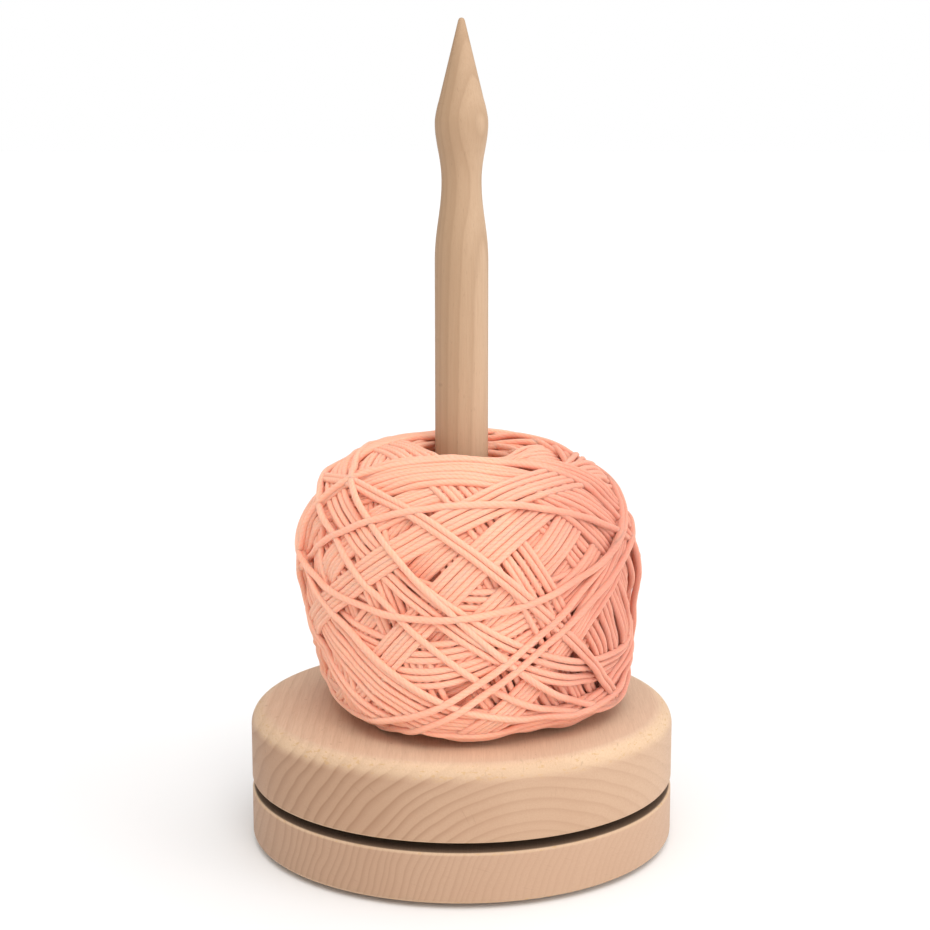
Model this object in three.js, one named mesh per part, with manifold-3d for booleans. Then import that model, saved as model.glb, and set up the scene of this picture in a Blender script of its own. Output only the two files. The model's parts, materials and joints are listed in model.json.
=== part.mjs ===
// A revolving yarn holder: two beech discs with a ball-bearing turntable between them, a turned spindle
// that screws into the upper disc, and a wound ball of yarn standing on that disc round the spindle.
// Millimetres, +Z up. The origin is the centre of the circle that the foot pads stand on.
import * as THREE from "three";
import { mergeVertices } from "three/addons/utils/BufferGeometryUtils.js";
import Module from "manifold-3d";

const wasm = await Module();
wasm.setup();

// ---- driving dimensions -------------------------------------------------------------------------------
const DISC_RADIUS = 60;
const BASE_THICKNESS = 14;
const TURNTABLE_THICKNESS = 20.5;
const DISC_GAP = 2.5;
const PAD_HEIGHT = 1.5;

const SPINDLE_RADIUS = 7.4;
const SPINDLE_RISE = 190.5; // how far the spindle stands above the turntable
const BEAD_RISE = 162.4; // and how far up it the bead and the waist are
const WAIST_RISE = 147;
const BEAD_RADIUS = 7.3;
const WAIST_RADIUS = 5.5;

const BEARING_RADIUS = 35;
const BEARING_BORE = 14;
const BEARING_HEIGHT = 8;
const PITCH_RADIUS = 25.5; // of the circle that the ball centres run on
const BALL_RADIUS = 2.38;
const BALL_COUNT = 16;

const YARN_RADIUS = 48.4;
const YARN_HEIGHT = 76;
const YARN_BORE = 10.8;
const YARN_OFFSET = { x: 2, y: -1.5 }; // the ball stands a little off the spindle's line

const SEAT_GAP = 0.2; // between pieces that rest on each other or sit in each other
const RACE_GAP = 0.12; // round a ball in its races
const DISC_SEGMENTS = 48;
const SHAFT_SEGMENTS = 24;
const SMALL_SEGMENTS = 12;

// ---- levels that follow from them ---------------------------------------------------------------------
const baseBottom = PAD_HEIGHT;
const baseTop = baseBottom + BASE_THICKNESS;
const turntableBottom = baseTop + DISC_GAP;
const turntableTop = turntableBottom + TURNTABLE_THICKNESS;
const recessDepth = (BEARING_HEIGHT - DISC_GAP) / 2;
const recessFloor = baseTop - recessDepth;
const recessCeiling = turntableBottom + recessDepth;
const raceLevel = (recessFloor + recessCeiling) / 2;

// ---- materials ----------------------------------------------------------------------------------------
const finish = (color, roughness, metalness = 0) =>
  new THREE.MeshStandardMaterial({ color, roughness, metalness });
const beech = finish(0xdfbb95, 0.6);
const paleBeech = finish(0xd8b588, 0.6);
const aluminium = finish(0xb9bcc0, 0.4, 0.9);
const steel = finish(0xa8aaad, 0.3, 1);
const brass = finish(0xc2a14d, 0.35, 1);
const nylon = finish(0xe8e6df, 0.5);
const siliconeRubber = finish(0xd9d9d6, 0.7);
const woolYarn = finish(0xf6a88a, 0.95);

// ---- making solids ------------------------------------------------------------------------------------
const object = new THREE.Group();

/** A closed three.js geometry as a solid that can be cut and joined. */
function toSolid(geometry) {
  const bare = new THREE.BufferGeometry()
    .setAttribute("position", geometry.getAttribute("position"))
    .setIndex(geometry.index);
  const merged = mergeVertices(bare, 1e-4);
  const corners = merged.index.array;
  const kept = [];
  for (let i = 0; i < corners.length; i += 3) {
    const [a, b, c] = corners.slice(i, i + 3);
    if (a !== b && b !== c && c !== a) kept.push(a, b, c); // points on an axis leave empty triangles
  }
  return new wasm.Manifold(
    new wasm.Mesh({
      numProp: 3,
      vertProperties: merged.attributes.position.array,
      triVerts: new Uint32Array(kept),
    }),
  );
}

/** A solid of revolution about Z from a closed outline of [radius, height] points, in either order. */
function turned(outline, segments) {
  const points = outline.map(([radius, height]) => new THREE.Vector2(radius, height));
  if (THREE.ShapeUtils.area(points) < 0) points.reverse();
  points.push(points[0].clone());
  return toSolid(new THREE.LatheGeometry(points, segments).rotateX(Math.PI / 2));
}

/** A turned solid from a THREE.Path, each of its curves cut into the given number of steps. */
const turnedPath = (path, steps, segments) =>
  turned(path.getPoints(steps).map((point) => [point.x, point.y]), segments);

const plug = (radius, low, high, segments) =>
  turned([[0, low], [radius, low], [radius, high], [0, high]], segments);

const cutAt = (solid, tool, places, z) =>
  places.reduce((rest, { x, y }) => rest.subtract(tool.translate(x, y, z)), solid);

/** Places on a circle, the first one half a step round from +X. */
function around(count, radius) {
  return Array.from({ length: count }, (_, i) => {
    const angle = ((i + 0.5) * 2 * Math.PI) / count;
    return { x: radius * Math.cos(angle), y: radius * Math.sin(angle) };
  });
}

function add(name, solid, material, { x = 0, y = 0, z = 0 } = {}) {
  const { vertProperties, triVerts } = solid.getMesh();
  const geometry = new THREE.BufferGeometry()
    .setAttribute("position", new THREE.BufferAttribute(vertProperties, 3))
    .setIndex(new THREE.BufferAttribute(triVerts, 1));
  const mesh = new THREE.Mesh(geometry, material);
  mesh.name = name;
  mesh.position.set(x, y, z);
  object.add(mesh);
}

// ---- countersunk screws -------------------------------------------------------------------------------
const SCREW_RADIUS = 1.5;
const SCREW_HEAD_RADIUS = 2.9;
const SCREW_HEAD_HEIGHT = 1.7;
const SCREW_SINK = 0.3; // how far the head sits inside its countersink
const SCREWS_PER_RING = 4;

/** The screw's body, head down at z = 0 and shank up. A gap round it makes the cutter for its hole. */
function screwBody(length, gap = 0) {
  const tip = 0.4;
  return turned(
    [
      [0, -gap],
      [SCREW_HEAD_RADIUS + gap, -gap],
      [SCREW_HEAD_RADIUS + gap, SCREW_SINK + gap],
      [SCREW_RADIUS + gap, SCREW_HEAD_HEIGHT + gap],
      [SCREW_RADIUS + gap, length - SCREW_RADIUS + gap],
      [tip, length + gap],
      [0, length + gap],
    ],
    SMALL_SEGMENTS,
  );
}

function crossSlot() {
  const [long, narrow, deep] = [3.2, 0.8, 1.1];
  const bar = (x, y) => toSolid(new THREE.BoxGeometry(x, y, 2 * deep));
  return bar(long, narrow).add(bar(narrow, long));
}

/** Four alike screws that enter a piece from its underside, which is the level called face. */
function screwSet(name, circle, face, length) {
  const places = around(SCREWS_PER_RING, circle);
  const mouth = plug(SCREW_HEAD_RADIUS + SEAT_GAP, -1, SCREW_SINK, SMALL_SEGMENTS);
  return {
    drill: (solid) => cutAt(solid, screwBody(length, SEAT_GAP), places, face + SCREW_SINK),
    countersink: (solid) => cutAt(solid, mouth, places, face),
    addAll() {
      const screw = screwBody(length).subtract(crossSlot());
      places.forEach((place, i) => {
        add(`${name}_screw_${i + 1}`, screw, steel, { ...place, z: face + SCREW_SINK });
      });
    },
  };
}

const RING_STEP = 0.8; // each ring stops this far short of the disc that it isn't fixed to
const innerRingBottom = recessFloor + RING_STEP;
const baseScrews = screwSet("base", 31.2, baseBottom, 15);
const turntableScrews = screwSet("turntable", 18.6, innerRingBottom, 14);

// ---- discs and foot pads ------------------------------------------------------------------------------
/** A disc with rounded edges, and a recess for the bearing between the two given levels. */
function disc(bottom, top, { lowerRound, upperRound, recess }) {
  const outline = new THREE.Path()
    .moveTo(0, bottom)
    .lineTo(DISC_RADIUS - lowerRound, bottom)
    .absarc(DISC_RADIUS - lowerRound, bottom + lowerRound, lowerRound, -Math.PI / 2, 0)
    .lineTo(DISC_RADIUS, top - upperRound)
    .absarc(DISC_RADIUS - upperRound, top - upperRound, upperRound, 0, Math.PI / 2)
    .lineTo(0, top);
  const bearingRoom = plug(BEARING_RADIUS + 1, ...recess, DISC_SEGMENTS);
  return turnedPath(outline, 3, DISC_SEGMENTS).subtract(bearingRoom);
}

function baseDisc() {
  const recess = [recessFloor, baseTop + 1];
  const body = disc(baseBottom, baseTop, { lowerRound: 1.2, upperRound: 1, recess });
  return baseScrews.countersink(baseScrews.drill(body));
}

/** A soft stick-on pad with a rounded lower rim. */
function footPad() {
  const radius = 6;
  const round = 0.5;
  const top = PAD_HEIGHT - SEAT_GAP / 2;
  const outline = new THREE.Path()
    .moveTo(0, 0)
    .lineTo(radius - round, 0)
    .absarc(radius - round, round, round, -Math.PI / 2, 0)
    .lineTo(radius, top)
    .lineTo(0, top);
  return turnedPath(outline, 2, 16);
}

// ---- turntable bearing --------------------------------------------------------------------------------
const RING_SPACE = 2.8; // between the two rings, where the cage runs
const CAGE_THICKNESS = 2.2;
const CAGE_HEIGHT = 6.4;
const CAGE_SEGMENTS = 2 * BALL_COUNT;
const POCKET_GAP = 0.24;
const ballPlaces = around(BALL_COUNT, PITCH_RADIUS);

/** The race cut into a ring's wall, from its lower lip to its upper lip. side is 1 outwards, -1 inwards. */
function race(side) {
  const steps = 6;
  const radius = BALL_RADIUS + RACE_GAP;
  const reach = Math.acos(RING_SPACE / 2 / radius);
  return Array.from({ length: steps + 1 }, (_, i) => {
    const angle = reach * ((2 * i) / steps - 1);
    return [PITCH_RADIUS + side * radius * Math.cos(angle), raceLevel + radius * Math.sin(angle)];
  });
}

function outerRing() {
  const bottom = recessFloor + SEAT_GAP;
  const top = recessCeiling - RING_STEP;
  const chamfer = 0.6;
  const wall = PITCH_RADIUS + RING_SPACE / 2;
  const outline = [
    [BEARING_RADIUS, bottom],
    [BEARING_RADIUS, top - chamfer],
    [BEARING_RADIUS - chamfer, top],
    [wall, top],
    ...race(1).reverse(),
    [wall, bottom],
  ];
  return baseScrews.drill(turned(outline, DISC_SEGMENTS));
}

function innerRing() {
  const top = recessCeiling - SEAT_GAP;
  const wall = PITCH_RADIUS - RING_SPACE / 2;
  const outline = [
    [BEARING_BORE, innerRingBottom],
    [wall, innerRingBottom],
    ...race(-1),
    [wall, top],
    [BEARING_BORE, top],
  ];
  return turntableScrews.countersink(turntableScrews.drill(turned(outline, DISC_SEGMENTS)));
}

const roundBall = (radius) => toSolid(new THREE.SphereGeometry(radius, 10, 6));

function ballCage() {
  const inside = PITCH_RADIUS - CAGE_THICKNESS / 2;
  const low = raceLevel - CAGE_HEIGHT / 2;
  const high = low + CAGE_HEIGHT;
  const ring = plug(inside + CAGE_THICKNESS, low, high, CAGE_SEGMENTS);
  const hoop = ring.subtract(plug(inside, low - 1, high + 1, CAGE_SEGMENTS));
  return cutAt(hoop, roundBall(BALL_RADIUS + POCKET_GAP), ballPlaces, raceLevel);
}

// ---- turntable and the spindle's fastening ------------------------------------------------------------
const SOCKET_DEPTH = 2.5; // the spindle's foot stands this deep in the turntable
const socketFloor = turntableTop - SOCKET_DEPTH;

/** The flanged insert that takes the stud. A gap round it makes the cutter for its seat. */
function insertBody(gap = 0) {
  const [radius, flangeRadius, flange, length] = [4.75 + gap, 6.25 + gap, 1.2, 12];
  const top = socketFloor - SEAT_GAP;
  return turned(
    [
      [0, top - length - gap],
      [radius, top - length - gap],
      [radius, top - flange - gap],
      [flangeRadius, top - flange - gap],
      [flangeRadius, top + gap],
      [0, top + gap],
    ],
    SHAFT_SEGMENTS,
  );
}

/** The stud, half in the insert and half in the spindle. A gap round it makes the cutter for its holes. */
function stud(gap = 0) {
  const radius = 3;
  const chamfer = 0.7;
  const low = socketFloor - 11 - gap;
  const high = socketFloor + 26 + gap;
  return turned(
    [
      [0, low],
      [radius - chamfer + gap, low],
      [radius + gap, low + chamfer],
      [radius + gap, high - 2 * chamfer],
      [radius - 2 * chamfer + gap, high],
      [0, high],
    ],
    SMALL_SEGMENTS,
  );
}

function turntableDisc() {
  const recess = [turntableBottom - 1, recessCeiling];
  const body = disc(turntableBottom, turntableTop, { lowerRound: 0.8, upperRound: 5.2, recess });
  const socket = plug(SPINDLE_RADIUS + SEAT_GAP, socketFloor, turntableTop + 1, SHAFT_SEGMENTS);
  return turntableScrews.drill(body).subtract(socket).subtract(insertBody(SEAT_GAP));
}

// ---- spindle ------------------------------------------------------------------------------------------
/** Straight shaft, waist, bead and cone, drawn with z = 0 at the turntable's top face. */
function spindle() {
  const foot = SEAT_GAP - SOCKET_DEPTH;
  const chamfer = 0.5;
  const shaftEnd = WAIST_RISE - 22;
  const outline = new THREE.Path()
    .moveTo(0, foot)
    .lineTo(SPINDLE_RADIUS - chamfer, foot)
    .lineTo(SPINDLE_RADIUS, foot + chamfer)
    .lineTo(SPINDLE_RADIUS, shaftEnd)
    .bezierCurveTo(SPINDLE_RADIUS, shaftEnd + 9, WAIST_RADIUS, WAIST_RISE - 8.5, WAIST_RADIUS, WAIST_RISE)
    .bezierCurveTo(WAIST_RADIUS, WAIST_RISE + 6, BEAD_RADIUS, BEAD_RISE - 5, BEAD_RADIUS, BEAD_RISE)
    .quadraticCurveTo(BEAD_RADIUS, BEAD_RISE + 2.4, 6.05, BEAD_RISE + 6.6)
    .lineTo(0.95, SPINDLE_RISE - 0.9)
    .quadraticCurveTo(0.75, SPINDLE_RISE, 0, SPINDLE_RISE);
  return turnedPath(outline, 5, SHAFT_SEGMENTS).translate(0, 0, turntableTop).subtract(stud(SEAT_GAP));
}

// ---- yarn ball ----------------------------------------------------------------------------------------
/**
 * A squat wound ball with a hole down its middle, standing on z = 0. Its upper and lower halves are
 * superellipses: a power of 2 would be an ellipse, and the higher power makes the lower half fuller.
 */
function yarnBall() {
  const steps = 8;
  const upperPower = 2.7;
  const lowerPower = 4.6;
  const half = YARN_HEIGHT / 2;
  const cap = (power, side) => {
    const reach = Math.acos((YARN_BORE / YARN_RADIUS) ** (power / 2));
    return Array.from({ length: steps + 1 }, (_, i) => {
      const angle = (reach * i) / steps;
      const radius = YARN_RADIUS * Math.cos(angle) ** (2 / power);
      return [radius, half + side * half * Math.sin(angle) ** (2 / power)];
    });
  };
  return turned([...cap(lowerPower, -1).reverse(), ...cap(upperPower, 1).slice(1)], 40);
}

// ---- the assembly -------------------------------------------------------------------------------------
add("base_disc", baseDisc(), beech);
around(4, 45).forEach((place, i) => add(`foot_pad_${i + 1}`, footPad(), siliconeRubber, place));
add("bearing_outer_ring", outerRing(), aluminium);
add("bearing_inner_ring", innerRing(), aluminium);
add("ball_cage", ballCage(), nylon);
ballPlaces.forEach((place, i) => {
  const number = String(i + 1).padStart(2, "0");
  add(`bearing_ball_${number}`, roundBall(BALL_RADIUS), steel, { ...place, z: raceLevel });
});
baseScrews.addAll();
turntableScrews.addAll();
add("turntable_disc", turntableDisc(), beech);
add("threaded_insert", insertBody().subtract(stud(SEAT_GAP)), brass);
add("spindle_stud", stud(), steel);
add("spindle", spindle(), paleBeech);
add("yarn_ball", yarnBall(), woolYarn, { ...YARN_OFFSET, z: turntableTop + SEAT_GAP });

export default object;
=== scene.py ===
"""The looks of a revolving yarn holder: beech discs, a beech spindle and a ball of wound yarn."""

import json
import math

import bpy
import numpy as np
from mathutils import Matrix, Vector

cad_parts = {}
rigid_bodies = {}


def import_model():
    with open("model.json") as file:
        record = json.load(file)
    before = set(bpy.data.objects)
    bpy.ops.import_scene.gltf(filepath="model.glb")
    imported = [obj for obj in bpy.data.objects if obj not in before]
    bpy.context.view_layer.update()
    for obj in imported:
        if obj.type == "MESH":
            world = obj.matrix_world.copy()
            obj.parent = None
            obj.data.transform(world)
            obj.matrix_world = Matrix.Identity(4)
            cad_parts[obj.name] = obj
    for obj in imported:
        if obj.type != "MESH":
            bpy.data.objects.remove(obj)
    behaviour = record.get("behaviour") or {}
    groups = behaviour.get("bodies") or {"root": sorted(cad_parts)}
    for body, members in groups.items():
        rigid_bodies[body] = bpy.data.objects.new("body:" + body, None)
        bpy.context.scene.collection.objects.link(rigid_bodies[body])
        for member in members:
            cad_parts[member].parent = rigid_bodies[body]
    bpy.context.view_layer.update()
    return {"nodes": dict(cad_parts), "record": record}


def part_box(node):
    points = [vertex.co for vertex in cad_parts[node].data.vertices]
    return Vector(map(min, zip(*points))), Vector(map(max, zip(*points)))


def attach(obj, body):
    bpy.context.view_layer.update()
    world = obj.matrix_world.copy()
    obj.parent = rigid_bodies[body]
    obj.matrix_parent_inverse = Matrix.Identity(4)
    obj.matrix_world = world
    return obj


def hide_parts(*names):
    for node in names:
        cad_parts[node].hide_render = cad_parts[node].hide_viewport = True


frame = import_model()

MM = 0.001
rng = np.random.default_rng(20)


# ---- camera, light and floor --------------------------------------------------------------------
def make_camera():
    """The reference view: a little over half a metre away, looking down at the ball's top."""
    pitch = math.radians(9.75)
    distance = 0.5204
    aim = Vector((0.00095, 0.0, 0.1066))
    data = bpy.data.cameras.new("camera")
    data.sensor_width = 36.0
    data.lens = 71.75
    data.clip_start = 0.01
    camera = bpy.data.objects.new("camera", data)
    camera.location = aim + distance * Vector((0, -math.cos(pitch), math.sin(pitch)))
    camera.rotation_euler = (math.pi / 2 - pitch, 0, 0)
    bpy.context.scene.collection.objects.link(camera)
    bpy.context.scene.camera = camera


def make_light(name, towards, level, softness, colour=(1, 1, 1)):
    """A broad even light from far away. level is how bright it makes a white surface that faces it."""
    data = bpy.data.lights.new(name, "SUN")
    data.energy = level * math.pi
    data.color = colour
    data.angle = math.radians(softness)
    light = bpy.data.objects.new(name, data)
    light.rotation_euler = Vector(towards).to_track_quat("Z", "Y").to_euler()
    bpy.context.scene.collection.objects.link(light)


def make_stage():
    """A white floor and backdrop. What the camera sees as white lights the object more from one side."""
    scene = bpy.context.scene
    scene.view_settings.view_transform = "Standard"
    world = bpy.data.worlds.new("studio")
    scene.world = world
    world.use_nodes = True
    nodes, links = world.node_tree.nodes, world.node_tree.links
    towards = nodes.new("ShaderNodeVectorMath")
    towards.operation = "DOT_PRODUCT"
    towards.inputs[1].default_value = Vector((0.33, -0.42, 0.85)).normalized()
    links.new(nodes.new("ShaderNodeTexCoord").outputs["Generated"], towards.inputs[0])
    glow = nodes.new("ShaderNodeMapRange")
    glow.interpolation_type = "SMOOTHSTEP"
    glow.inputs["From Min"].default_value = -0.3
    glow.inputs["To Min"].default_value = 0.34
    glow.inputs["To Max"].default_value = 1.26
    links.new(towards.outputs["Value"], glow.inputs["Value"])
    seen = nodes.new("ShaderNodeMix")
    seen.inputs["B"].default_value = 1.0
    links.new(nodes.new("ShaderNodeLightPath").outputs["Is Camera Ray"], seen.inputs["Factor"])
    links.new(glow.outputs["Result"], seen.inputs["A"])
    links.new(seen.outputs["Result"], nodes["Background"].inputs["Strength"])
    nodes["Background"].inputs["Color"].default_value = (1, 1, 1, 1)

    half = 60.0
    corners = [(-half, -half, 0), (half, -half, 0), (half, half, 0), (-half, half, 0)]
    mesh = bpy.data.meshes.new("floor")
    mesh.from_pydata(corners, [], [(0, 1, 2, 3)])
    floor = bpy.data.objects.new("floor", mesh)
    scene.collection.objects.link(floor)
    material = bpy.data.materials.new("floor_paper")
    material.use_nodes = True
    shader = material.node_tree.nodes["Principled BSDF"]
    shader.inputs["Base Color"].default_value = (0.87, 0.87, 0.87, 1)
    shader.inputs["Roughness"].default_value = 0.9
    mesh.materials.append(material)


make_camera()
make_stage()
make_light("key", (0.1, -0.57, 0.82), 0.3, 35, (1, 0.985, 0.96))
make_light("side", (0.88, -0.45, 0.15), 0.26, 40)


# ---- shader nodes -------------------------------------------------------------------------------
class Shader:
    """A material's node tree, with short calls for the nodes that these materials are made of."""

    def __init__(self, name):
        self.material = bpy.data.materials.new(name)
        self.material.use_nodes = True
        self.tree = self.material.node_tree
        self.surface = self.tree.nodes["Principled BSDF"]

    def node(self, kind, **inputs):
        made = self.tree.nodes.new("ShaderNode" + kind)
        for key, value in inputs.items():
            self.feed(made.inputs[key.replace("_", " ")], value)
        return made

    def feed(self, socket, value):
        if isinstance(value, bpy.types.NodeSocket):
            self.tree.links.new(value, socket)
        else:
            socket.default_value = value

    def math(self, operation, *values):
        made = self.tree.nodes.new("ShaderNodeMath")
        made.operation = operation
        for socket, value in zip(made.inputs, values):
            self.feed(socket, value)
        return made.outputs[0]

    def position(self, scale=(1, 1, 1), offset=(0, 0, 0)):
        """The point in the row frame, in millimetres, moved and then scaled along each axis."""
        place = self.tree.nodes.new("ShaderNodeTexCoord").outputs["Object"]
        moved = self.tree.nodes.new("ShaderNodeVectorMath")
        moved.operation = "MULTIPLY_ADD"
        self.feed(moved.inputs[0], place)
        moved.inputs[1].default_value = [s / MM for s in scale]
        moved.inputs[2].default_value = [o * s for o, s in zip(offset, scale)]
        return moved.outputs[0]

    def split(self, vector):
        return tuple(self.node("SeparateXYZ", Vector=vector).outputs)

    def join(self, x, y, z):
        return self.node("CombineXYZ", X=x, Y=y, Z=z).outputs[0]

    def noise(self, vector, scale=1.0, detail=2.0, roughness=0.5):
        made = self.node("TexNoise", Vector=vector, Scale=scale, Detail=detail, Roughness=roughness)
        return made.outputs["Fac"]

    def remap(self, value, low, high, to_low=0.0, to_high=1.0):
        """Maps low to to_low and high to to_high, and holds those values beyond."""
        ends = {"From_Min": low, "From_Max": high, "To_Min": to_low, "To_Max": to_high}
        return self.node("MapRange", Value=value, **ends).outputs["Result"]

    def ramp(self, value, stops):
        """A colour ramp from (position, (r, g, b)) stops."""
        made = self.node("ValToRGB", Fac=value)
        elements = made.color_ramp.elements
        while len(elements) < len(stops):
            elements.new(0.5)
        for element, (at, colour) in zip(elements, stops):
            element.position = at
            element.color = (*colour, 1)
        return made.outputs["Color"]

    def mix(self, share, a, b, blend="MIX"):
        made = self.tree.nodes.new("ShaderNodeMix")
        made.data_type = "RGBA"
        made.blend_type = blend
        self.feed(made.inputs["Factor"], share)
        self.feed(made.inputs[6], a if isinstance(a, bpy.types.NodeSocket) else (*a, 1))
        self.feed(made.inputs[7], b if isinstance(b, bpy.types.NodeSocket) else (*b, 1))
        return made.outputs[2]

    def bump(self, height, distance, strength=1.0):
        """Relief of the given depth in millimetres."""
        made = self.node("Bump", Height=height, Distance=distance * MM, Strength=strength)
        self.feed(self.surface.inputs["Normal"], made.outputs["Normal"])

    def set(self, **inputs):
        for key, value in inputs.items():
            self.feed(self.surface.inputs[key.replace("_", " ")], value)
        return self.material


# ---- wood ---------------------------------------------------------------------------------------
# How dark a growth ring is from its spring side at 0 to its autumn side at 1.
RING_SHADES = [(0.0, 0.05), (0.4, 0.12), (0.72, 0.6), (0.88, 1.0), (1.0, 0.05)]
# A disc's flat top is painted paler than its rim, as painted light from above. The rounded edge between
# them is painted yellower, as a painted highlight, with small chips.
PAINTED_TOP_LIGHT = (0.745, 0.56, 0.4)
PAINTED_EDGE_HIGHLIGHT = (0.79, 0.565, 0.335)
CHIP_SHADE = (0.55, 0.33, 0.14)


def darker(colour, share):
    return [share * c for c in colour]


def stretched(s, grain, across, along):
    """The place for a noise whose spots are drawn out along the fibres."""
    return s.position((across, along, across) if grain == "Y" else (across, across, along))


def growth_rings(s, grain, pith, ring_gap):
    """How far the ring at each place is into its autumn, and the texture coordinates of the rays."""
    x, y, z = s.split(s.position())
    up, along = (z, y) if grain == "Y" else (y, z)
    bend = s.math("SUBTRACT", s.noise(stretched(s, grain, 0.03, 0.008), detail=3.0), 0.5)
    across = s.math("ADD", s.math("SUBTRACT", x, pith[0]), s.math("MULTIPLY", bend, 9.0))
    height = s.math("SUBTRACT", up, pith[1])
    radius = s.math("SQRT", s.math("MULTIPLY_ADD", across, across, s.math("MULTIPLY", height, height)))
    angle = s.math("ARCTAN2", height, across)

    good_and_bad_years = s.noise(s.join(s.math("MULTIPLY", radius, 0.11), 0.0, 0.0), detail=2.0)
    growth = s.math("ADD", radius, s.math("MULTIPLY", good_and_bad_years, 5.0))
    ring = s.math("FRACT", s.math("DIVIDE", growth, ring_gap))
    late = s.ramp(ring, [(at, (shade,) * 3) for at, shade in RING_SHADES])
    rays = s.join(
        s.math("MULTIPLY", radius, 0.09),
        s.math("MULTIPLY", angle, 3.2 * math.hypot(*pith)),
        s.math("MULTIPLY", along, 0.42),
    )
    return late, rays


def beech(name, grain, pith, ring_gap, pale, dark, painted_side_shade, contrast=1.0, gap_shade_side=None):
    """Turned beech: growth rings round a pith line, rays that cross them, and fine pores.

    grain is the axis that the fibres run along, "Y" or "Z". pith is where the middle of the tree was, as
    the distance in millimetres along X and along the third axis. aged is painted shade on one side, darker
    towards -X as if the light fell from +X: the x where that starts, the x where it is full, and its share
    there. gap_shade_side is 1 or -1 for a disc whose upper or lower face lies in the gap between the
    discs; that face is painted dark, as painted shade in the gap. On a disc only the rim gets the painted
    shade towards
    -X, and the whole rim is painted a little darker than the top, as painted shade.
    """
    s = Shader(name)
    late, rays = growth_rings(s, grain, pith, ring_gap)
    x = s.split(s.position())[0]
    normal = s.split(s.tree.nodes.new("ShaderNodeTexCoord").outputs["Normal"])
    facing = s.math("ABSOLUTE", normal[1] if grain == "Y" else normal[2])
    end_grain = s.remap(facing, 0.45, 0.95)
    streaks = s.noise(stretched(s, grain, 2.6, 0.09), detail=5.0, roughness=0.65)
    clouds = s.noise(stretched(s, grain, 0.03, 0.015 if grain == "Y" else 0.012), detail=2.0)
    fleck = s.remap(s.noise(rays, detail=1.0), 0.7, 0.8)
    pores = s.noise(stretched(s, grain, 5.0, 0.5), detail=2.0)

    # Painted shade: the wood is painted darker towards -X, as if the light fell from +X.
    from_x, to_x, share = painted_side_shade
    painted_shade = s.remap(x, from_x, to_x, 0.0, share)
    ring_share = s.math("MULTIPLY", late, s.remap(end_grain, 0, 1, 0.34 * contrast, 0.7 * contrast))
    if gap_shade_side:
        slope = s.math("ABSOLUTE", normal[2])
        edge = s.math("MULTIPLY", s.remap(slope, 0.15, 0.5), s.remap(slope, 0.99, 0.85))
        rim = s.remap(slope, 0.1, 0.5, 1.0, 0.0)
        # On a disc only the rim gets that painted shade, plus 0.2 over the whole rim, which paints the rim
        # darker than the top as painted shade.
        painted_shade = s.math("MULTIPLY", rim, s.math("ADD", painted_shade, 0.2))
        ring_share = s.math("MULTIPLY", ring_share, s.remap(slope, 0.15, 0.55, 1.0, 0.28))
        # The ring lines are drawn stronger towards -X, along with the painted shade.
        ring_share = s.math("MULTIPLY", ring_share, s.remap(x, from_x, to_x, 0.45, 2.0))
        # Painted light: the top faces are painted paler, as if lit from above.
        pale = s.mix(s.remap(slope, 0.3, 0.95, 0.0, 0.5), pale, PAINTED_TOP_LIGHT)
        # Painted highlight: the rounded edge between top and rim is painted yellower.
        pale = s.mix(s.math("MULTIPLY", edge, 0.35), pale, PAINTED_EDGE_HIGHLIGHT)

    colour = s.mix(painted_shade, pale, dark)
    colour = s.mix(ring_share, colour, darker(dark, 0.85))
    colour = s.mix(s.remap(streaks, 0.35, 0.75, 0.0, 0.30), colour, dark)
    colour = s.mix(s.remap(clouds, 0.3, 0.7, 0.0, 0.25), colour, dark)
    colour = s.mix(s.math("MULTIPLY", fleck, 0.28), colour, darker(dark, 0.6))
    colour = s.mix(s.math("MULTIPLY", end_grain, 0.3), colour, darker(dark, 0.95))
    colour = s.mix(s.remap(pores, 0.62, 0.8, 0.0, 0.22), colour, darker(dark, 0.6))
    if gap_shade_side:
        chips = s.remap(s.noise(s.position((0.55, 0.55, 1.4)), detail=3.0), 0.6, 0.64)
        colour = s.mix(s.math("MULTIPLY", s.math("MULTIPLY", edge, chips), 0.6), colour, CHIP_SHADE)
        # Painted shade: the face that lies in the gap between the discs is painted dark.
        painted_gap_shade = s.remap(s.math("MULTIPLY", normal[2], float(gap_shade_side)), 0.8, 0.95, 0.0, 0.85)
        colour = s.mix(painted_gap_shade, colour, darker(dark, 0.25))

    s.bump(s.math("ADD", s.math("MULTIPLY", streaks, 0.6), s.math("MULTIPLY", pores, 0.4)), 0.12, 0.5)
    rough = s.remap(streaks, 0.3, 0.7, 0.5, 0.64)
    return s.set(Base_Color=colour, Roughness=rough, Specular_IOR_Level=0.35)


# ---- rubber, metal and nylon --------------------------------------------------------------------
def silicone():
    """Milky silicone rubber with dust on it."""
    s = Shader("silicone")
    haze = s.noise(s.position((0.5,) * 3), detail=3.0)
    dust = s.noise(s.position((3.0,) * 3), detail=4.0, roughness=0.7)
    colour = s.mix(s.remap(haze, 0.35, 0.65), (0.72, 0.72, 0.7), (0.62, 0.62, 0.6))
    colour = s.mix(s.remap(dust, 0.6, 0.8, 0.0, 0.4), colour, (0.42, 0.4, 0.37))
    s.bump(dust, 0.03, 0.4)
    return s.set(
        Base_Color=colour,
        Roughness=s.remap(dust, 0.3, 0.7, 0.5, 0.75),
        Subsurface_Weight=0.3,
        Subsurface_Scale=1.5 * MM,
    )


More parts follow.
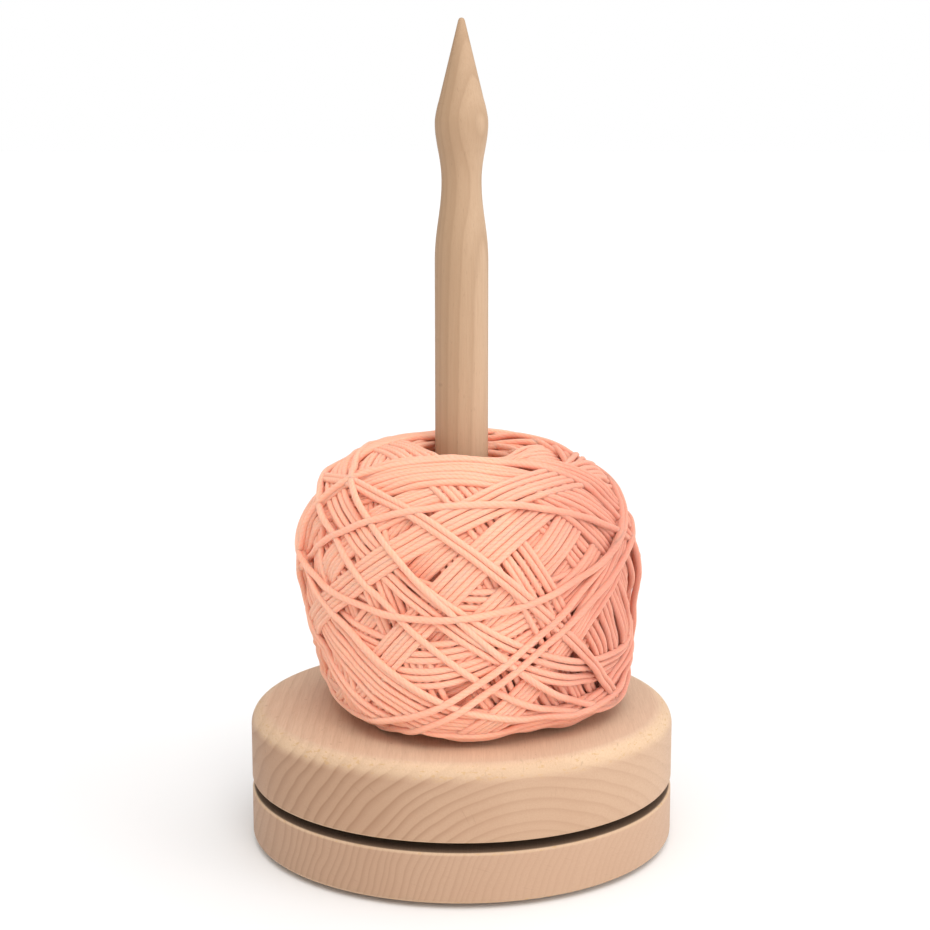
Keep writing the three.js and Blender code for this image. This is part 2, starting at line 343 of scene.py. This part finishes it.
def turned_metal(name, colour, roughness, lines):
    """Metal with fine tool lines round Z. lines is how close they are."""
    s = Shader(name)
    x, y, z = s.split(s.position())
    radius = s.math("SQRT", s.math("MULTIPLY_ADD", x, x, s.math("MULTIPLY", y, y)))
    cut = s.join(s.math("MULTIPLY", radius, lines), 0.0, s.math("MULTIPLY", z, lines))
    marks = s.noise(cut, detail=3.0)
    film = s.noise(s.position((0.2,) * 3), detail=4.0)
    shade = s.mix(s.remap(film, 0.35, 0.7, 0.0, 0.6), colour, darker(colour, 0.78))
    s.bump(marks, 0.02, 0.6)
    rough = s.remap(marks, 0.3, 0.7, roughness - 0.06, roughness + 0.1)
    return s.set(Base_Color=shade, Metallic=1.0, Roughness=rough)


def moulded_nylon():
    """Off-white nylon with a fine moulded grain and a slight yellowing."""
    s = Shader("nylon")
    grain = s.noise(s.position((6.0,) * 3), detail=3.0)
    age = s.noise(s.position((0.12,) * 3), detail=2.0)
    colour = s.mix(s.remap(age, 0.35, 0.65), (0.76, 0.75, 0.7), (0.7, 0.67, 0.58))
    s.bump(grain, 0.02, 0.5)
    rough = s.remap(grain, 0.3, 0.7, 0.38, 0.55)
    return s.set(Base_Color=colour, Roughness=rough, Subsurface_Weight=0.1)


def finish_cad_nodes():
    """Gives the CAD nodes that stay in view the finish of their material slot."""
    finishes = {
        "bearing_aluminium": turned_metal("aluminium", (0.72, 0.73, 0.75), 0.32, 3.0),
        "cage_nylon": moulded_nylon(),
        "ball_steel": turned_metal("ball_steel", (0.66, 0.66, 0.67), 0.12, 0.4),
        "screw_steel": turned_metal("zinc_plate", (0.6, 0.61, 0.64), 0.3, 5.0),
        "insert_brass": turned_metal("brass", (0.72, 0.53, 0.24), 0.28, 4.0),
    }
    for part in frame["record"]["subparts"]:
        if part["material_slot"] in finishes:
            materials = frame["nodes"][part["node"]].data.materials
            materials.clear()
            materials.append(finishes[part["material_slot"]])


# ---- meshes -------------------------------------------------------------------------------------
def add_piece(name, vertices, faces, material, body, slot, replaces, sharp_angle=40):
    """A piece made from vertices in millimetres, which rides on a body in place of CAD nodes."""
    mesh = bpy.data.meshes.new(name)
    mesh.from_pydata(np.asarray(vertices) * MM, [], faces)
    mesh.validate()
    mesh.shade_smooth()
    mesh.set_sharp_from_angle(angle=math.radians(sharp_angle))
    mesh.materials.append(material)
    made = bpy.data.objects.new(name, mesh)
    bpy.context.scene.collection.objects.link(made)
    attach(made, body)
    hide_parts(*replaces)
    return made


def grid_faces(rows, columns, looped):
    """The quads of a tube, whose rings of vertices follow one another and may close into a loop."""
    row = np.arange(rows if looped else rows - 1)[:, None]
    column = np.arange(columns)
    near, far = row * columns, (row + 1) % rows * columns
    step = (column + 1) % columns
    return np.stack([near + column, near + step, far + step, far + column], -1).reshape(-1, 4)


def lathe(outline, segments=192):
    """Turns an outline of (radius, height) points about Z.

    The outline starts and ends on the axis, and keeps the solid on its left.
    """
    outline = np.array(outline)
    rim = outline[1:-1]
    turn = np.arange(segments) * 2 * math.pi / segments
    ring = np.stack([np.cos(turn), np.sin(turn)], -1)
    wall = np.concatenate([np.c_[r * ring, np.full(segments, h)] for r, h in rim])
    vertices = np.concatenate([wall, [(0, 0, outline[0][1]), (0, 0, outline[-1][1])]])
    below, above = len(wall), len(wall) + 1
    last = (len(rim) - 1) * segments
    faces = grid_faces(len(rim), segments, False).tolist()
    for i in range(segments):
        after = (i + 1) % segments
        faces.append((below, after, i))
        faces.append((above, last + i, last + after))
    return vertices, faces


def arc(radius, height, size, start, end, steps=8):
    """Points of a circular arc round (radius, height), between two angles in degrees."""
    angles = np.radians(np.linspace(start, end, steps + 1))
    return [(radius + size * math.cos(a), height + size * math.sin(a)) for a in angles]


def bezier(points, steps):
    """A Bezier curve's points, without its first one, which the outline already has."""
    made = []
    for t in np.arange(1, steps + 1) / steps:
        hull = np.array(points, float)
        while len(hull) > 1:
            hull = hull[:-1] * (1 - t) + hull[1:] * t
        made.append(tuple(hull[0]))
    return made


def node_box(node):
    """A CAD node's lowest and highest corners, in millimetres."""
    low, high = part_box(node)
    return np.array(low) / MM, np.array(high) / MM


# ---- discs --------------------------------------------------------------------------------------
SEAT_GAP = 0.2  # the clearance that a piece has where it sits in another
bearing_low, bearing_high = node_box("bearing_outer_ring")
base_low, base_high = node_box("base_disc")
table_low, table_high = node_box("turntable_disc")
spindle_low, spindle_high = node_box("spindle")
insert_low, insert_high = node_box("threaded_insert")
recess_radius = bearing_high[0] + 1
socket_floor = spindle_low[2] - SEAT_GAP
SCREWS = 4
SHANK_RADIUS = 1.5  # of the base's screws


def rounded_rim(low, high, radius, lower_round, upper_round):
    """The outline of a rim, from below to above."""
    return [
        *arc(radius - lower_round, low + lower_round, lower_round, -90, 0, 6),
        *arc(radius - upper_round, high - upper_round, upper_round, 0, 90, 14),
    ]


def drill(wood, screw, through):
    """Cuts a countersunk hole for a screw that enters from below."""
    low, high = node_box(screw)
    x, y, _ = (low + high) / 2
    head = (high[0] - low[0]) / 2 + SEAT_GAP
    shank = SHANK_RADIUS + SEAT_GAP
    start, end = low[2] - 2, through + 1
    seat = low[2] + SEAT_GAP
    outline = [(0, start), (head, start), (head, seat)]
    outline += [(shank, seat + head - shank), (shank, end), (0, end)]
    vertices, faces = lathe(outline, 48)
    mesh = bpy.data.meshes.new("drill")
    mesh.from_pydata((vertices + (x, y, 0)) * MM, [], faces)
    tool = bpy.data.objects.new("drill", mesh)
    bpy.context.scene.collection.objects.link(tool)
    cut = wood.modifiers.new("hole", "BOOLEAN")
    cut.operation = "DIFFERENCE"
    cut.object = tool
    whole = wood.data
    drilled = wood.evaluated_get(bpy.context.evaluated_depsgraph_get())
    wood.data = bpy.data.meshes.new_from_object(drilled)
    wood.modifiers.clear()
    for used in (tool, whole, mesh):
        bpy.data.batch_remove([used])


def base_disc():
    """The lower disc, with the bearing's recess in its top and four screw holes from below."""
    floor = bearing_low[2] - SEAT_GAP
    low, high = base_low[2], base_high[2]
    outline = [(0, low), *rounded_rim(low, high, base_high[0], 1.2, 1.0)]
    outline += [(recess_radius, high), (recess_radius, floor), (0, floor)]
    pale, dark = (0.61, 0.415, 0.29), (0.42, 0.245, 0.15)
    # The base: painted shade towards -X on its rim, and painted shade on its top face in the gap.
    wood = beech("beech_base", "Y", (150, -40), 1.9, pale, dark, (15, -55, 0.42), 0.8, gap_shade_side=1)
    made = add_piece("base_beech", *lathe(outline), wood, "base", "disc_beech", ["base_disc"])
    for number in range(1, SCREWS + 1):
        drill(made, f"base_screw_{number}", floor)
    made.data.set_sharp_from_angle(angle=math.radians(40))


def turntable_disc():
    """The upper disc, with the bearing's recess below, and the spindle's and the insert's seats above."""
    ceiling = node_box("bearing_inner_ring")[1][2] + SEAT_GAP
    low, high = table_low[2], table_high[2]
    seat = insert_high[0] + SEAT_GAP
    socket = spindle_high[0] + SEAT_GAP
    outline = [(0, ceiling), (recess_radius, ceiling), (recess_radius, low)]
    outline += rounded_rim(low, high, table_high[0], 0.8, 5.2)
    outline += [(socket, high), (socket, socket_floor), (seat, socket_floor)]
    outline += [(seat, insert_low[2] - SEAT_GAP), (0, insert_low[2] - SEAT_GAP)]
    pale, dark = (0.67, 0.47, 0.325), (0.41, 0.23, 0.135)
    # The turntable: painted shade towards -X on its rim, and painted shade on its lower face in the gap.
    wood = beech("beech_turntable", "Y", (18, -10), 2.8, pale, dark, (15, -50, 0.5), 1.1, gap_shade_side=-1)
    add_piece("turntable_beech", *lathe(outline), wood, "turntable", "disc_beech", ["turntable_disc"])


# ---- foot pads ----------------------------------------------------------------------------------
PADS = 4


def foot_pads():
    """Soft pads, each with a rounded lower rim."""
    rubber = silicone()
    rim_round = 0.5
    for number in range(1, PADS + 1):
        node = f"foot_pad_{number}"
        low, high = node_box(node)
        x, y, _ = (low + high) / 2
        radius = (high[0] - low[0]) / 2
        rim = arc(radius - rim_round, low[2] + rim_round, rim_round, -90, 0)
        vertices, faces = lathe([(0, low[2]), *rim, (radius, high[2]), (0, high[2])], 64)
        vertices = vertices + (x, y, 0)
        add_piece(f"pad_{number}", vertices, faces, rubber, "base", "silicone_pad", [node])


# ---- spindle ------------------------------------------------------------------------------------
def spindle():
    """Straight shaft, waist, bead and a long cone. Heights are above the turntable."""
    shaft, waist, bead = spindle_high[0], 5.5, 7.3  # radii
    waist_rise, bead_rise, rise = 147, 162.4, spindle_high[2] - table_high[2]
    shaft_end = waist_rise - 22  # from here the shaft narrows to its waist
    shoulder = (6.05, bead_rise + 6.6)  # where the bead passes into the cone
    cone_end = (0.95, rise - 0.9)  # from here the tip is rounded
    foot = spindle_low[2] - table_high[2]
    stud = node_box("spindle_stud")[1]
    bore, bore_top = stud[0] + SEAT_GAP, stud[2] + SEAT_GAP - table_high[2]
    chamfer = 0.5
    curves = [
        ([(shaft, shaft_end), (shaft, shaft_end + 9), (waist, waist_rise - 8.5), (waist, waist_rise)], 24),
        ([(waist, waist_rise), (waist, waist_rise + 6), (bead, bead_rise - 5), (bead, bead_rise)], 18),
        ([(bead, bead_rise), (bead, bead_rise + 2.4), shoulder], 12),
        ([shoulder, cone_end], 10),
        ([cone_end, (0.75, rise), (0, rise)], 8),
    ]
    outline = [(0, bore_top), (bore, bore_top), (bore, foot)]
    outline += [(shaft - chamfer, foot), (shaft, foot + chamfer)]
    outline += [(shaft, height) for height in np.linspace(3, shaft_end, 24)]
    for points, steps in curves:
        outline += bezier(points, steps)
    outline = [(radius, height + table_high[2]) for radius, height in outline]
    pale, dark = (0.565, 0.387, 0.253), (0.37, 0.22, 0.118)
    # The spindle is painted darker towards -X, as painted shade.
    wood = beech("beech_spindle", "Z", (-24, 22), 2.2, pale, dark, (6, -2, 0.5), 1.1)
    add_piece("spindle_beech", *lathe(outline, 96), wood, "turntable", "spindle_beech", ["spindle"])


base_disc()
turntable_disc()
spindle()
foot_pads()
finish_cad_nodes()

# ---- the wound ball -----------------------------------------------------------------------------
# The ball is worked out in millimetres about its own middle. Turns of yarn are laid one after another.
# A grid over all directions holds how far the yarn laid so far stands above the ball's bare form, so
# each turn rests on those that it crosses.
ball_low, ball_high = node_box("yarn_ball")
ball_middle = (ball_low + ball_high) / 2
ball_radius = (ball_high[0] - ball_low[0]) / 2 - 1.4
ball_half = (ball_high[2] - ball_low[2]) / 2

STRAND = 0.96  # the radius of a loose strand
TIGHT = 0.87  # and of one that is pulled tight inside the ball
SIDES = 8  # of a strand's section
STEP = 0.5  # between points along a strand while it is laid
COARSER = 3  # every third of those points is kept in the mesh
ROWS, COLUMNS = 300, 600  # of the grid over all directions
ACROSS = 9  # points across a strand where it is laid on the grid
CORE_DEPTH = 5.0  # of the solid core below the ball's form
LAYERS = 6  # the pieces that the strands are shared out over, from the deepest to the outermost
HOLE = 12.2  # the nearest that a turn's middle line comes to the ball's axis
HOLE_EDGE_HEIGHT = 35  # of a turn above the ball's middle where it passes the hole
TOP_LEAN = 2.2  # how far the top is moved towards -X
TOP_POWER, FOOT_POWER = 2.75, 6.2  # how square the form is above and below its middle
FARTHEST = 90.0  # a distance that is beyond the form from anywhere inside it
HALVINGS = 26


def form(points):
    """Below 0 inside the ball's outer form, and above 0 outside it.

    It is a superellipsoid with a rounder upper half. The top leans a little towards -X and dips at the
    hole, and the lower half bulges more on some sides.
    """
    x, y, z = np.moveaxis(points, -1, 0)
    upper = np.clip(z / ball_half, 0, 1)
    lower = np.clip(-z / ball_half, 0, 1)
    x = x + TOP_LEAN * upper
    turn = np.arctan2(y, x)
    lump = 1 + lower * (0.09 * np.cos(2 * (turn + 1.17)) + 0.065 * np.cos(3 * (turn - 0.13)))
    dip = upper * (1.6 - 0.07 * y) * np.exp(-(x**2 + y**2) / 26**2)
    radius = np.hypot(x, y) / (ball_radius * lump)
    power = np.where(z > 0, TOP_POWER, FOOT_POWER)
    return radius**power + np.abs((z + dip) / ball_half) ** power - 1


def reach(origin, directions):
    """How far the form's surface is from a point inside it, in each direction, by halving."""
    near = np.zeros(directions.shape[:-1])
    far = np.full(directions.shape[:-1], FARTHEST)
    for _ in range(HALVINGS):
        middle = (near + far) / 2
        inside = form(origin + middle[..., None] * directions) < 0
        near, far = np.where(inside, middle, near), np.where(inside, far, middle)
    return near


def unit(vectors):
    return vectors / np.linalg.norm(vectors, axis=-1, keepdims=True)


def form_normals(points, size=0.5):
    steps = size * np.eye(3)
    return unit(np.stack([form(points + step) - form(points - step) for step in steps], -1))


def cells(points):
    """The grid's row and column in the direction of each point."""
    x, y, z = np.moveaxis(points, -1, 0)
    row = np.arctan2(np.hypot(x, y), z) / math.pi * ROWS
    column = np.arctan2(y, x) / (2 * math.pi) * COLUMNS
    return row.astype(int).clip(0, ROWS - 1), np.floor(column).astype(int) % COLUMNS


def smooth(values, spread, looped):
    """A bell-shaped average along a strand, with its spread counted in steps."""
    size = int(3 * spread) + 1
    bell = np.exp(-0.5 * (np.arange(-size, size + 1) / spread) ** 2)
    bell /= bell.sum()
    margins = [(size, size)] + [(0, 0)] * (values.ndim - 1)
    padded = np.pad(values, margins, mode="wrap" if looped else "edge")
    if values.ndim == 1:
        return np.convolve(padded, bell, "valid")
    return np.stack([np.convolve(column, bell, "valid") for column in padded.T], -1)


def taut(heights, looped, bend=12.0, window=24):
    """The path of a tight strand over these heights.

    It bridges dips and bends no tighter than a radius of bend. It looks window steps each way.
    """
    padded = np.pad(heights, window, mode="wrap" if looped else "edge")
    best = heights.copy()
    for shift in range(-window, window + 1):
        drop = (shift * STEP) ** 2 / (2 * bend)
        best = np.maximum(best, padded[window + shift : window + shift + len(heights)] - drop)
    return smooth(best, 4.0, looped)


TUCK_LENGTH = 14  # over which a strand's end dives under the others
TUCK_DEPTH = 6
ENDS_SIDE = np.array((0, 0.6, -0.8))  # strands start and end on this side of the ball
SINK = 1.06  # how far soft strands press into each other, as a share of their radius
PRESSED = 0.85  # the share of its relief that the ball keeps once its own tension has pressed it flat
PROUDEST = 1.2  # how far a strand's middle may stand out of the ball's form

relief = np.zeros((ROWS, COLUMNS))
strands = []  # (path on the form, normals, heights above the form, looped, radius)


def tangents_of(path, looped):
    if looped:
        return unit(np.roll(path, -1, 0) - np.roll(path, 1, 0))
    return unit(np.gradient(path, axis=0))


def lay(path, looped, radius):
    """Lays a strand along a path on the form, over everything laid so far."""
    offsets = radius * np.linspace(-1, 1, ACROSS)
    crown = np.sqrt(np.maximum(radius**2 - offsets**2, 0))
    normals = form_normals(path)
    beside = unit(np.cross(normals, tangents_of(path, looped)))
    footprint = path[:, None] + offsets[:, None] * beside[:, None]
    spots = cells(footprint)
    heights = (relief[spots] + crown).max(axis=1) - SINK * radius
    heights = taut(heights, looped)
    if not looped:
        to_end = np.minimum(np.arange(len(path)), np.arange(len(path))[::-1]) * STEP
        heights -= TUCK_DEPTH * np.cos(np.minimum(to_end / TUCK_LENGTH, 1) * math.pi / 2) ** 2
    np.maximum.at(relief, spots, heights[:, None] + crown)
    strands.append((path, normals, heights, looped, radius))


def even(path, looped):
    """The same path with its points STEP apart."""
    ends = np.vstack([path, path[:1]]) if looped else path
    length = np.r_[0, np.cumsum(np.linalg.norm(np.diff(ends, axis=0), axis=1))]
    count = max(int(length[-1] / STEP), 8)
    wanted = np.arange(count) * length[-1] / (count if looped else count - 1)
    return np.stack([np.interp(wanted, length, column) for column in ends.T], -1)


def turns(tilt, high_side, lift, count, gap, radius, drift=0.5, wobble=0.5):
    """Turns of yarn side by side round the ball.

    Each lies in a plane. tilt is the plane's angle from level and high_side the direction of its highest
    point, in degrees. lift moves the plane off the ball's middle, drift turns it from one turn to the next
    and wobble makes it wander. The strand's ends go under the others low down at the back. A single turn
    is a loop.
    """
    looped = count == 1
    angle = np.radians(np.arange(360 * count))
    turn = angle / (2 * math.pi)
    phase = rng.uniform(0, 2 * math.pi, 4)
    waver = np.sin(angle + phase[0]) + np.sin(2 * angle + phase[1]) + np.sin(3 * angle + phase[2])
    if not looped:
        waver = waver + np.sin(0.63 * angle + phase[3])
    shift = 0 if looped else gap * (turn - count / 2)
    off = lift + shift + wobble * 0.5 * waver
    heading = np.radians(high_side + drift * (turn - count / 2))
    lean = np.full(angle.shape, math.radians(tilt))
    uphill = np.stack([np.cos(heading), np.sin(heading), np.zeros(angle.shape)], -1)
    level = np.stack([-np.sin(heading), np.cos(heading), np.zeros(angle.shape)], -1)
    normal = np.cos(lean)[:, None] * np.array((0, 0, 1)) - np.sin(lean)[:, None] * uphill
    steep = np.cross(normal, level)
    angle += math.atan2(steep[0] @ ENDS_SIDE, level[0] @ ENDS_SIDE)
    direction = np.cos(angle)[:, None] * level + np.sin(angle)[:, None] * steep
    origin = off[:, None] * normal
    path = origin + reach(origin, direction)[:, None] * direction
    lay(even(path, looped), looped, radius)


def steepest_lift(tilt):
    """How far a turn's plane may be off the ball's middle before the turn would cross the hole."""
    lean = math.radians(tilt)
    return HOLE_EDGE_HEIGHT * math.cos(lean) - HOLE * math.sin(lean)


GOLDEN_ANGLE = 137.5  # between one bundle's direction and the next, which spreads them evenly
GOLDEN_SHARE = 0.618  # and the same for their tilts, as a share of the range
FLATTEST, STEEPEST = 22, 69


def bundles(number, most, gap, first):
    """Bundles of turns side by side, in directions spread evenly over the ball and at many tilts."""
    for i in range(first, first + number):
        tilt = FLATTEST + (STEEPEST - FLATTEST) * ((i * GOLDEN_SHARE + 0.3) % 1) ** 0.6
        room = steepest_lift(tilt)
        count = int(min(most, 2 + 2 * room / gap))
        slack = max(room - count * gap / 2, 0)
        lift = slack * math.sin(2.4 * i)
        turns(tilt, GOLDEN_ANGLE * i, lift, count, gap * rng.uniform(0.98, 1.06), TIGHT)


def collars(number, count, gap):
    """Turns that pass close by the hole, on all its sides. One in three passes its lower end."""
    tilt = 58
    lift = steepest_lift(tilt) - count * gap / 2
    for i in range(number):
        turns(tilt, GOLDEN_ANGLE * i + 60, -lift if i % 3 == 1 else lift, count, gap, TIGHT)


bundles(32, 10, 1.66, 0)
collars(18, 5, 1.7)
bundles(18, 6, 1.7, 32)

LAST_GAP = 1.7
# The last turns, which lie on top: their tilt, the side where they are highest, their lift off the
# middle and their number.
LAST_TURNS = [
    (30, 126, -8, 6),
    (48, -92, 0, 6),
    (44, 24, -13, 5),
    (35, 150, 9, 4),
    (36, -40, 5, 5),
    (30, 100, -9, 2),
    (60, -86, 0, 3),
    (45, -148, -6, 2),
    (43, 162, 6, 1),
    (38, 151, 1, 1),
    (32, -84, 1, 1),
    (30, 129, -4, 1),
    (63, -90, -5, 1),
    (36, 31, -2, 1),
    (35, 17, -12, 1),
    (23, 74, 16, 1),
]
for tilt, high_side, lift, count in LAST_TURNS:
    radius = STRAND if count == 1 else TIGHT
    turns(tilt, high_side, lift, count, LAST_GAP, radius, wobble=0.35)


def large_scale(values, spread):
    """The grid averaged over a neighbourhood, whose spread is in millimetres. The hole is left out."""
    polar = (np.arange(ROWS) + 0.5) * math.pi / ROWS
    size = (ball_radius + ball_half) / 2
    wave = np.arange(COLUMNS // 2 + 1)
    shares = np.fft.rfft(values, axis=1)
    shares *= np.exp(-0.5 * (spread / (size * np.sin(polar))[:, None] * wave) ** 2)
    level = np.fft.irfft(shares, COLUMNS, axis=1)
    near = np.exp(-0.5 * ((polar[:, None] - polar) * size / spread) ** 2)
    near *= (size * np.sin(polar) > HOLE) & (relief.mean(axis=1) > STRAND)
    return near @ level / near.sum(axis=1, keepdims=True)


# The level that the outermost strands share nearby, which becomes the ball's form. The mean is of cubes,
# because the high strands matter most.
NEARBY = 5.5
settled = np.cbrt(large_scale(np.maximum(relief, 0) ** 3, NEARBY))


def settle(path, normals, heights, looped, radius):
    """Where a strand's middle runs once the ball has settled to its form."""
    proud = heights - settled[cells(path)]
    proud = np.where(proud > 0, PROUDEST * (1 - np.exp(-proud / PROUDEST)), PRESSED * proud)
    centres = smooth(path + proud[:, None] * normals, 1.2, looped)
    centres[:, 2] = np.maximum(centres[:, 2], -ball_half + radius * 0.8)
    return centres, normals, looped, radius


def shown_runs(path, normals, heights, looped, radius):
    """The stretches of a strand that come out of the solid core."""
    shown = heights - settled[cells(path)] > -CORE_DEPTH - radius
    if shown.all():
        return [(path, normals, heights, looped, radius)]
    if looped:
        to_first_hidden = -np.argmin(shown)
        path, normals = np.roll(path, to_first_hidden, 0), np.roll(normals, to_first_hidden, 0)
        heights, shown = np.roll(heights, to_first_hidden), np.roll(shown, to_first_hidden)
    changes = np.flatnonzero(np.diff(np.r_[0, shown, 0]))
    runs = [slice(first, last) for first, last in changes.reshape(-1, 2) if last - first > 4 * COARSER]
    return [(path[run], normals[run], heights[run], False, radius) for run in runs]


def add_strands(name, chosen, material):
    """One mesh of closed tubes, from (middle line, outward directions, looped, radius) of each strand.

    Its points carry a "strand" mark for the material: the cosine and sine of their place round the
    strand, and the length along it.
    """
    vertices, faces, marks = [], [], []
    start = 0
    for centres, normals, looped, radius in chosen:
        centres, normals = centres[::COARSER], normals[::COARSER]
        tangents = tangents_of(centres, looped)
        beside = unit(np.cross(normals, tangents))
        outward = np.cross(tangents, beside)
        around = np.arange(SIDES) * 2 * math.pi / SIDES
        ring = np.cos(around)[:, None] * beside[:, None] + np.sin(around)[:, None] * outward[:, None]
        points = (centres[:, None] + radius * ring).reshape(-1, 3)
        quads = grid_faces(len(centres), SIDES, looped) + start
        faces += quads.tolist()
        if not looped:
            faces.append([start + k for k in reversed(range(SIDES))])
            faces.append([start + len(points) - SIDES + k for k in range(SIDES)])
        along = np.repeat(np.arange(len(centres)) * COARSER * STEP, SIDES)
        spin = np.tile(around, len(centres))
        marks.append(np.stack([np.cos(spin), np.sin(spin), along], -1))
        vertices.append(points)
        start += len(points)
    vertices = np.concatenate(vertices) + ball_middle
    made = add_piece(name, vertices, faces, material, "yarn", "peach_yarn", ["yarn_ball"], 80)
    mark = made.data.attributes.new("strand", "FLOAT_VECTOR", "POINT")
    mark.data.foreach_set("vector", np.concatenate(marks).astype(np.float32).ravel())


def yarn_material():
    """Soft peach yarn of two plies, with painted shade in the grooves between the plies and on the ball's
    +X side.
    """
    s = Shader("peach_yarn")
    strand = s.node("Attribute")
    strand.attribute_name = "strand"
    x, y, along = s.split(strand.outputs["Vector"])
    spin = s.math("ARCTAN2", y, x)
    full_twist = 6.5
    twist = s.math("SUBTRACT", spin, s.math("MULTIPLY", along, 2 * math.pi / full_twist))
    plies = s.math("ABSOLUTE", s.math("SINE", s.math("MULTIPLY", twist, 2.0)))
    lengthwise = s.join(s.math("COSINE", twist), s.math("SINE", twist), s.math("MULTIPLY", along, 0.15))
    fibre = s.noise(lengthwise, 5.0, 4.0, 0.6)
    clouds = s.noise(s.position((0.08,) * 3), detail=2.0)
    # Painted shade: the grooves between the plies are painted a little darker than their crests.
    colour = s.mix(s.remap(plies, 0.0, 0.9), (0.985, 0.43, 0.29), (0.99, 0.485, 0.345))
    colour = s.mix(s.remap(clouds, 0.3, 0.7, 0.0, 0.35), colour, (0.985, 0.44, 0.315))
    # Painted shade: the ball is painted darker towards +X, with an uneven edge.
    uneven_x = s.math("MULTIPLY_ADD", clouds, 16.0, s.split(s.position())[0])
    painted_plus_x_shade = s.remap(uneven_x, 16.0, 50.0, 0.0, 0.95)
    colour = s.mix(painted_plus_x_shade, colour, (0.66, 0.265, 0.195))
    s.bump(s.math("MULTIPLY_ADD", fibre, 0.6, plies), 0.09, 0.5)
    return s.set(
        Base_Color=colour,
        Roughness=0.85,
        Specular_IOR_Level=0.2,
        Subsurface_Weight=0.5,
        Subsurface_Radius=(1.0, 0.6, 0.4),
        Subsurface_Scale=1.5 * MM,
        Sheen_Weight=0.6,
        Sheen_Roughness=0.5,
        Sheen_Tint=(1.0, 0.62, 0.45, 1),
    )


def core():
    """The solid mass of yarn that shows between the strands, with the hole down its middle."""
    rows, bore_rows, columns = 48, 8, 160
    lip = 0.36  # the angle from the axis, in radians, where the outside meets the hole
    polar = np.linspace(math.pi - lip, lip, rows)[:, None]
    turn = np.arange(columns) * 2 * math.pi / columns
    level_ring = np.stack([np.cos(turn), np.sin(turn), 0 * turn], -1)
    axis = np.array((0, 0, 1))
    direction = np.sin(polar)[..., None] * level_ring + np.cos(polar)[..., None] * axis
    outside = direction * reach(np.zeros(3), direction)[..., None]
    outside -= CORE_DEPTH * form_normals(outside)
    heights = np.linspace(outside[-1, 0, 2] - 1, outside[0, 0, 2] + 1, bore_rows)
    inside = (HOLE + 0.6) * level_ring + heights[:, None, None] * axis
    vertices = np.concatenate([outside, inside]).reshape(-1, 3) + ball_middle
    faces = grid_faces(rows + bore_rows, columns, True).tolist()
    add_piece("yarn_core", vertices, faces, yarn, "yarn", "peach_yarn", ["yarn_ball"], 80)


def lining():
    """The yarn that lines the hole, in one close helix that widens at the top."""
    pitch = 1.9
    flare = 3.5  # how much wider the hole is at its top
    top, bottom = ball_half - 3.5, -ball_half + STRAND
    rounds = (top - bottom) / pitch
    angle = np.arange(0, rounds * 2 * math.pi, STEP / HOLE)
    height = bottom + angle / (2 * math.pi) * pitch
    bore = HOLE - 0.2 + flare * np.exp((height - top) / 2.5)
    inward = -np.stack([np.cos(angle), np.sin(angle), 0 * angle], -1)
    path = -bore[:, None] * inward
    path[:, 2] = height
    return path, inward, False, STRAND


yarn = yarn_material()
core()
add_strands("yarn_lining", [lining()], yarn)
wound = [settle(*run) for strand in strands for run in shown_runs(*strand)]
points_so_far = np.cumsum([len(run[0]) for run in wound])
layer_of_run = np.ceil(LAYERS * points_so_far / points_so_far[-1])
for layer in range(1, LAYERS + 1):
    chosen = [run for run, its_layer in zip(wound, layer_of_run) if its_layer == layer]
    add_strands(f"yarn_layer_{layer}", chosen, yarn)
